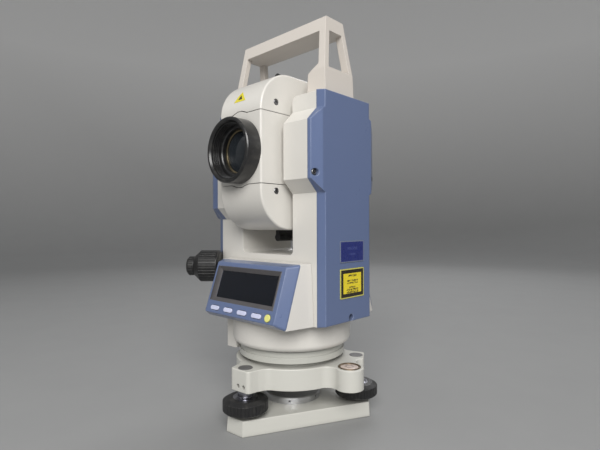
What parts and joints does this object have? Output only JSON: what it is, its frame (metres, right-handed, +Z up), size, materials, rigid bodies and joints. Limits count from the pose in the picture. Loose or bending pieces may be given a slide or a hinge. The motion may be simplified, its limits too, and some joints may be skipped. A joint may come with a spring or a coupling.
{
  "type": "surveying total station",
  "caption": "Electronic total station: telescope between yoke standards with a carry handle, display and keys on both faces, on a three-screw levelling base.",
  "frame": {"origin": "centre of the tapped tripod thread at the underside of the base plate", "axes": "+Z up along the vertical axis, +X along the trunnion axis towards the cover with the blank name plate, -Y the way the telescope objective looks at rest"},
  "size_m": [0.1666, 0.1626, 0.345],
  "materials": {
    "base_enamel": "gloss enamel",
    "bare_aluminium": "turned",
    "black_plastic": "satin moulded",
    "cap_grey": "satin moulded",
    "vial_bronze": "dark bronzed ring",
    "flange_grey": "gloss enamel",
    "bearing_steel": "ground",
    "circle_glass": "polished",
    "body_white": "gloss enamel",
    "cover_blue": "semi-gloss paint",
    "handle_white": "semi-gloss",
    "housing_white": "semi-gloss",
    "screw_steel": "satin",
    "name_blue": "gloss label",
    "warning_yellow": "gloss label",
    "lcd_dark": "gloss window",
    "key_lilac": "satin",
    "key_yellow": "satin",
    "board_green": "solder mask",
    "battery_black": "moulded",
    "vial_glass": "polished",
    "hood_black": "satin black",
    "lens_glass": "coated"
  },
  "bodies": {
    "base": {"base_plate": "base_enamel", "centre_boss": "bare_aluminium"},
    "levelling_head": {"tribrach_body": "base_enamel", "foot_screw_caps": "cap_grey", "circular_vial": "vial_bronze", "centring_flange": "flange_grey", "axis_bushing": "bearing_steel", "horizontal_circle": "circle_glass"},
    "alidade": {"vertical_spindle": "bearing_steel", "alidade_base": "body_white", "yoke_frame": "body_white", "right_cover": "cover_blue", "left_cover": "cover_blue", "case_screws": "screw_steel", "name_plate": "name_blue", "warning_plate": "warning_yellow", "carry_handle": "handle_white", "display_housing_front": "housing_white", "display_housing_rear": "housing_white", "display_bezel_front": "cover_blue", "display_bezel_rear": "cover_blue", "lcd_window_front": "lcd_dark", "lcd_window_rear": "lcd_dark", "trunnion_bearings": "bearing_steel", "main_board": "board_green", "battery_pack": "battery_black", "plate_vial": "vial_glass"},
    "telescope": {"telescope_body": "body_white", "telescope_top_cover": "body_white", "telescope_bottom_cover": "body_white", "telescope_screws": "screw_steel", "optical_tube": "hood_black", "objective_hood": "hood_black", "objective_lens": "lens_glass", "peep_sights": "black_plastic", "trunnion_shafts": "bearing_steel", "vertical_circle": "circle_glass", "edm_module": "bare_aluminium"},
    "foot_screw_1": {"foot_screw_1": "black_plastic"},
    "foot_screw_2": {"foot_screw_2": "black_plastic"},
    "foot_screw_3": {"foot_screw_3": "black_plastic"},
    "clamp_lever": {"clamp_lever": "black_plastic"},
    "vertical_tangent_knob": {"vertical_tangent_knob": "black_plastic"},
    "vertical_clamp_knob": {"vertical_clamp_knob": "black_plastic"},
    "horizontal_tangent_knob": {"horizontal_tangent_knob": "black_plastic"},
    "horizontal_clamp_knob": {"horizontal_clamp_knob": "black_plastic"},
    "plummet_eyepiece": {"plummet_eyepiece": "black_plastic"},
    "focus_ring": {"focus_ring": "black_plastic"},
    "focusing_cell": {"focusing_cell": "hood_black"},
    "eyepiece_ring": {"eyepiece_ring": "black_plastic"},
    "soft_key_front_1": {"soft_key_front_1": "key_lilac"},
    "soft_key_front_2": {"soft_key_front_2": "key_lilac"},
    "soft_key_front_3": {"soft_key_front_3": "key_lilac"},
    "soft_key_front_4": {"soft_key_front_4": "key_lilac"},
    "soft_key_rear_1": {"soft_key_rear_1": "key_lilac"},
    "soft_key_rear_2": {"soft_key_rear_2": "key_lilac"},
    "soft_key_rear_3": {"soft_key_rear_3": "key_lilac"},
    "soft_key_rear_4": {"soft_key_rear_4": "key_lilac"},
    "power_key_front": {"power_key_front": "key_yellow"},
    "power_key_rear": {"power_key_rear": "key_yellow"}
  },
  "joints": [
    {"name": "head_tilt", "type": "hinge", "parent": "base", "child": "levelling_head", "pos_m": [-0.05334, 0.02613, 0.0082], "axis": [0.9977, 0.068, 0], "range_deg": [-1, 1]},
    {"name": "foot_screw_1_turn", "type": "hinge", "parent": "levelling_head", "child": "foot_screw_1", "pos_m": [0.0493, 0.03313, 0.03], "axis": [0, 0, 1], "range_deg": [-800, 800]},
    {"name": "foot_screw_2_turn", "type": "hinge", "parent": "levelling_head", "child": "foot_screw_2", "pos_m": [-0.05334, 0.02613, 0.03], "axis": [0, 0, 1], "range_deg": [-800, 800]},
    {"name": "foot_screw_3_turn", "type": "hinge", "parent": "levelling_head", "child": "foot_screw_3", "pos_m": [0.00404, -0.05926, 0.03], "axis": [0, 0, 1], "range_deg": [-800, 800]},
    {"name": "clamp_lever_turn", "type": "hinge", "parent": "levelling_head", "child": "clamp_lever", "pos_m": [0, 0, 0.0424], "axis": [-0.068, 0.9977, 0], "range_deg": [-180, 0]},
    {"name": "alidade_turn", "type": "hinge", "parent": "levelling_head", "child": "alidade", "pos_m": [0, 0, 0.06], "axis": [0, 0, 1], "continuous": true},
    {"name": "telescope_turn", "type": "hinge", "parent": "alidade", "child": "telescope", "pos_m": [0, 0, 0.2312], "axis": [1, 0, 0], "continuous": true},
    {"name": "vertical_tangent_turn", "type": "hinge", "parent": "alidade", "child": "vertical_tangent_knob", "pos_m": [-0.06, -0.0363, 0.1307], "axis": [-0.7547, -0.6561, 0], "range_deg": [-1440, 1440]},
    {"name": "vertical_clamp_turn", "type": "hinge", "parent": "alidade", "child": "vertical_clamp_knob", "pos_m": [-0.06, -0.0363, 0.1307], "axis": [-0.7547, -0.6561, 0], "range_deg": [-90, 0]},
    {"name": "horizontal_tangent_turn", "type": "hinge", "parent": "alidade", "child": "horizontal_tangent_knob", "pos_m": [-0.0456, 0.046, 0.0705], "axis": [0, 1, 0], "range_deg": [-1440, 1440]},
    {"name": "horizontal_clamp_turn", "type": "hinge", "parent": "alidade", "child": "horizontal_clamp_knob", "pos_m": [-0.0456, 0.046, 0.0705], "axis": [0, 1, 0], "range_deg": [-90, 0]},
    {"name": "plummet_focus_turn", "type": "hinge", "parent": "alidade", "child": "plummet_eyepiece", "pos_m": [0, 0.06, 0.075], "axis": [0, 1, 0], "range_deg": [-90, 90]},
    {"name": "focus_ring_turn", "type": "hinge", "parent": "telescope", "child": "focus_ring", "pos_m": [0, 0.06, 0.2312], "axis": [0, 1, 0], "range_deg": [-150, 150]},
    {"name": "eyepiece_turn", "type": "hinge", "parent": "telescope", "child": "eyepiece_ring", "pos_m": [0, 0.07, 0.2312], "axis": [0, 1, 0], "range_deg": [-150, 150]},
    {"name": "focusing_slide", "type": "slide", "parent": "telescope", "child": "focusing_cell", "axis": [0, 1, 0], "range_m": [-0.008, 0.008]},
    {"name": "soft_key_front_1_press", "type": "slide", "parent": "alidade", "child": "soft_key_front_1", "axis": [0, 0.9469, -0.3214], "range_m": [0, 0.0008], "stiffness_N_per_m": 800, "springref_m": -0.0005},
    {"name": "soft_key_front_2_press", "type": "slide", "parent": "alidade", "child": "soft_key_front_2", "axis": [0, 0.9469, -0.3214], "range_m": [0, 0.0008], "stiffness_N_per_m": 800, "springref_m": -0.0005},
    {"name": "soft_key_front_3_press", "type": "slide", "parent": "alidade", "child": "soft_key_front_3", "axis": [0, 0.9469, -0.3214], "range_m": [0, 0.0008], "stiffness_N_per_m": 800, "springref_m": -0.0005},
    {"name": "soft_key_front_4_press", "type": "slide", "parent": "alidade", "child": "soft_key_front_4", "axis": [0, 0.9469, -0.3214], "range_m": [0, 0.0008], "stiffness_N_per_m": 800, "springref_m": -0.0005},
    {"name": "power_key_front_press", "type": "slide", "parent": "alidade", "child": "power_key_front", "axis": [0, 0.9469, -0.3214], "range_m": [0, 0.0008], "stiffness_N_per_m": 800, "springref_m": -0.0005},
    {"name": "soft_key_rear_1_press", "type": "slide", "parent": "alidade", "child": "soft_key_rear_1", "axis": [0, -0.9469, -0.3214], "range_m": [0, 0.0008], "stiffness_N_per_m": 800, "springref_m": -0.0005},
    {"name": "soft_key_rear_2_press", "type": "slide", "parent": "alidade", "child": "soft_key_rear_2", "axis": [0, -0.9469, -0.3214], "range_m": [0, 0.0008], "stiffness_N_per_m": 800, "springref_m": -0.0005},
    {"name": "soft_key_rear_3_press", "type": "slide", "parent": "alidade", "child": "soft_key_rear_3", "axis": [0, -0.9469, -0.3214], "range_m": [0, 0.0008], "stiffness_N_per_m": 800, "springref_m": -0.0005},
    {"name": "soft_key_rear_4_press", "type": "slide", "parent": "alidade", "child": "soft_key_rear_4", "axis": [0, -0.9469, -0.3214], "range_m": [0, 0.0008], "stiffness_N_per_m": 800, "springref_m": -0.0005},
    {"name": "power_key_rear_press", "type": "slide", "parent": "alidade", "child": "power_key_rear", "axis": [0, -0.9469, -0.3214], "range_m": [0, 0.0008], "stiffness_N_per_m": 800, "springref_m": -0.0005}
  ],
  "couplings": [
    {"joint": "focus_ring_turn", "follows": "focusing_slide", "rad_per_m": 327.25},
    {"joint": "foot_screw_3_turn", "follows": "head_tilt", "ratio": 800}
  ]
}
